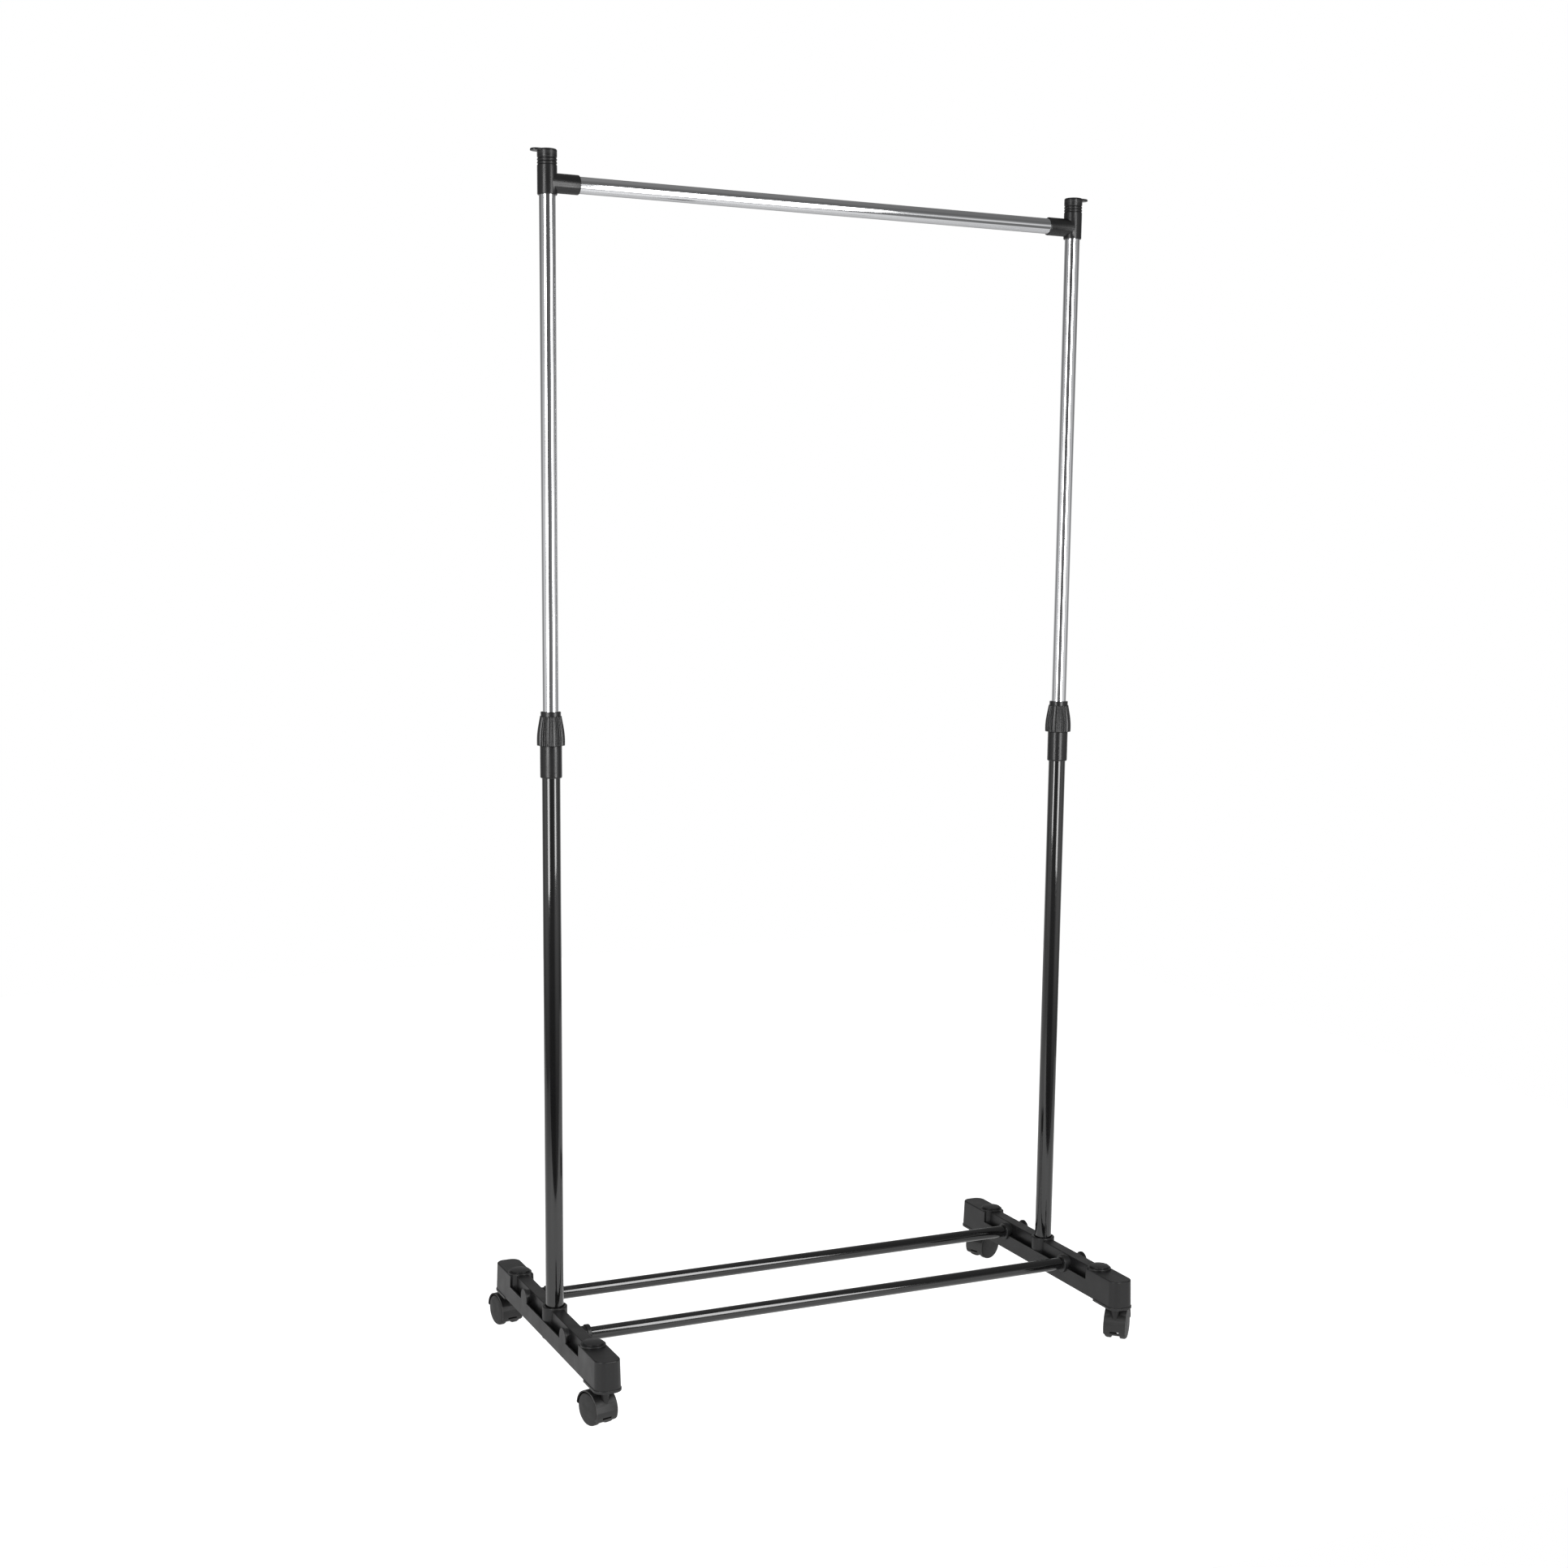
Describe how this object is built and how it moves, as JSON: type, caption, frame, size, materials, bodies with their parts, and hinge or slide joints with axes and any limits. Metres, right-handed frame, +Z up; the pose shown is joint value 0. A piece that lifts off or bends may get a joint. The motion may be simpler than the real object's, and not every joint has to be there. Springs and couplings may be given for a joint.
{
  "type": "rolling clothes rack",
  "caption": "Rolling clothes rack with telescopic posts, twist-lock collars, a chrome hanging rail, shoe rails, moulded feet and swivelling hooded twin-wheel casters.",
  "frame": {"origin": "on the floor, midway between the two posts and midway along the feet", "axes": "+X along the hanging rail towards the right post, -Y is the front, +Z up"},
  "size_m": [0.7642, 0.4203, 1.4544],
  "materials": {
    "moulded_black": "satin black moulded polypropylene with a fine mould texture",
    "wheel_black": "satin black moulded nylon",
    "powder_coated_steel": "glossy black powder coat on steel tube",
    "chromed_tube": "bright chrome plate on steel tube",
    "zinc_steel": "zinc plated steel",
    "guide_plastic": "natural moulded nylon"
  },
  "bodies": {
    "base": {"left_foot": "moulded_black", "right_foot": "moulded_black", "front_left_foot_cap": "moulded_black", "rear_left_foot_cap": "moulded_black", "front_right_foot_cap": "moulded_black", "rear_right_foot_cap": "moulded_black", "front_shoe_rail": "powder_coated_steel", "rear_shoe_rail": "powder_coated_steel", "left_lower_upright": "powder_coated_steel", "right_lower_upright": "powder_coated_steel", "left_tube_plug": "moulded_black", "right_tube_plug": "moulded_black", "left_upright_screw": "zinc_steel", "right_upright_screw": "zinc_steel", "left_lock_sleeve": "moulded_black", "right_lock_sleeve": "moulded_black", "front_left_stem": "zinc_steel", "front_left_grip_ring": "zinc_steel", "rear_left_stem": "zinc_steel", "rear_left_grip_ring": "zinc_steel", "front_right_stem": "zinc_steel", "front_right_grip_ring": "zinc_steel", "rear_right_stem": "zinc_steel", "rear_right_grip_ring": "zinc_steel"},
    "hanger_frame": {"left_upper_upright": "chromed_tube", "left_tube_glide": "guide_plastic", "left_tee": "moulded_black", "left_end_cap": "moulded_black", "right_upper_upright": "chromed_tube", "right_tube_glide": "guide_plastic", "right_tee": "moulded_black", "right_end_cap": "moulded_black", "hanging_rail": "chromed_tube"},
    "left_nut": {"left_lock_nut": "moulded_black"},
    "right_nut": {"right_lock_nut": "moulded_black"},
    "front_left_caster": {"front_left_hood": "moulded_black", "front_left_axle": "zinc_steel"},
    "front_left_wheel_a": {"front_left_wheel_a": "wheel_black"},
    "front_left_wheel_b": {"front_left_wheel_b": "wheel_black"},
    "rear_left_caster": {"rear_left_hood": "moulded_black", "rear_left_axle": "zinc_steel"},
    "rear_left_wheel_a": {"rear_left_wheel_a": "wheel_black"},
    "rear_left_wheel_b": {"rear_left_wheel_b": "wheel_black"},
    "front_right_caster": {"front_right_hood": "moulded_black", "front_right_axle": "zinc_steel"},
    "front_right_wheel_a": {"front_right_wheel_a": "wheel_black"},
    "front_right_wheel_b": {"front_right_wheel_b": "wheel_black"},
    "rear_right_caster": {"rear_right_hood": "moulded_black", "rear_right_axle": "zinc_steel"},
    "rear_right_wheel_a": {"rear_right_wheel_a": "wheel_black"},
    "rear_right_wheel_b": {"rear_right_wheel_b": "wheel_black"}
  },
  "joints": [
    {"name": "height_slide", "type": "slide", "parent": "base", "child": "hanger_frame", "axis": [0, 0, 1], "range_m": [-0.56, 0.04]},
    {"name": "left_nut_turn", "type": "hinge", "parent": "base", "child": "left_nut", "pos_m": [-0.35, 0, 0.798], "axis": [0, 0, 1], "range_deg": [0, 270]},
    {"name": "right_nut_turn", "type": "hinge", "parent": "base", "child": "right_nut", "pos_m": [0.35, 0, 0.798], "axis": [0, 0, 1], "range_deg": [0, 270]},
    {"name": "front_left_swivel", "type": "hinge", "parent": "base", "child": "front_left_caster", "pos_m": [-0.35, -0.18, 0.04], "axis": [0, 0, 1], "continuous": true},
    {"name": "front_left_wheel_a_roll", "type": "hinge", "parent": "front_left_caster", "child": "front_left_wheel_a", "pos_m": [-0.35385, -0.16396, 0.02], "axis": [0.9724, 0.2334, 0], "continuous": true},
    {"name": "front_left_wheel_b_roll", "type": "hinge", "parent": "front_left_caster", "child": "front_left_wheel_b", "pos_m": [-0.35385, -0.16396, 0.02], "axis": [0.9724, 0.2334, 0], "continuous": true},
    {"name": "rear_left_swivel", "type": "hinge", "parent": "base", "child": "rear_left_caster", "pos_m": [-0.35, 0.18, 0.04], "axis": [0, 0, 1], "continuous": true},
    {"name": "rear_left_wheel_a_roll", "type": "hinge", "parent": "rear_left_caster", "child": "rear_left_wheel_a", "pos_m": [-0.35258, 0.1963, 0.02], "axis": [0.9877, 0.1564, 0], "continuous": true},
    {"name": "rear_left_wheel_b_roll", "type": "hinge", "parent": "rear_left_caster", "child": "rear_left_wheel_b", "pos_m": [-0.35258, 0.1963, 0.02], "axis": [0.9877, 0.1564, 0], "continuous": true},
    {"name": "front_right_swivel", "type": "hinge", "parent": "base", "child": "front_right_caster", "pos_m": [0.35, -0.18, 0.04], "axis": [0, 0, 1], "continuous": true},
    {"name": "front_right_wheel_a_roll", "type": "hinge", "parent": "front_right_caster", "child": "front_right_wheel_a", "pos_m": [0.36136, -0.16803, 0.02], "axis": [0.7254, -0.6884, 0], "continuous": true},
    {"name": "front_right_wheel_b_roll", "type": "hinge", "parent": "front_right_caster", "child": "front_right_wheel_b", "pos_m": [0.36136, -0.16803, 0.02], "axis": [0.7254, -0.6884, 0], "continuous": true},
    {"name": "rear_right_swivel", "type": "hinge", "parent": "base", "child": "rear_right_caster", "pos_m": [0.35, 0.18, 0.04], "axis": [0, 0, 1], "continuous": true},
    {"name": "rear_right_wheel_a_roll", "type": "hinge", "parent": "rear_right_caster", "child": "rear_right_wheel_a", "pos_m": [0.3654, 0.18591, 0.02], "axis": [0.3584, -0.9336, 0], "continuous": true},
    {"name": "rear_right_wheel_b_roll", "type": "hinge", "parent": "rear_right_caster", "child": "rear_right_wheel_b", "pos_m": [0.3654, 0.18591, 0.02], "axis": [0.3584, -0.9336, 0], "continuous": true}
  ]
}
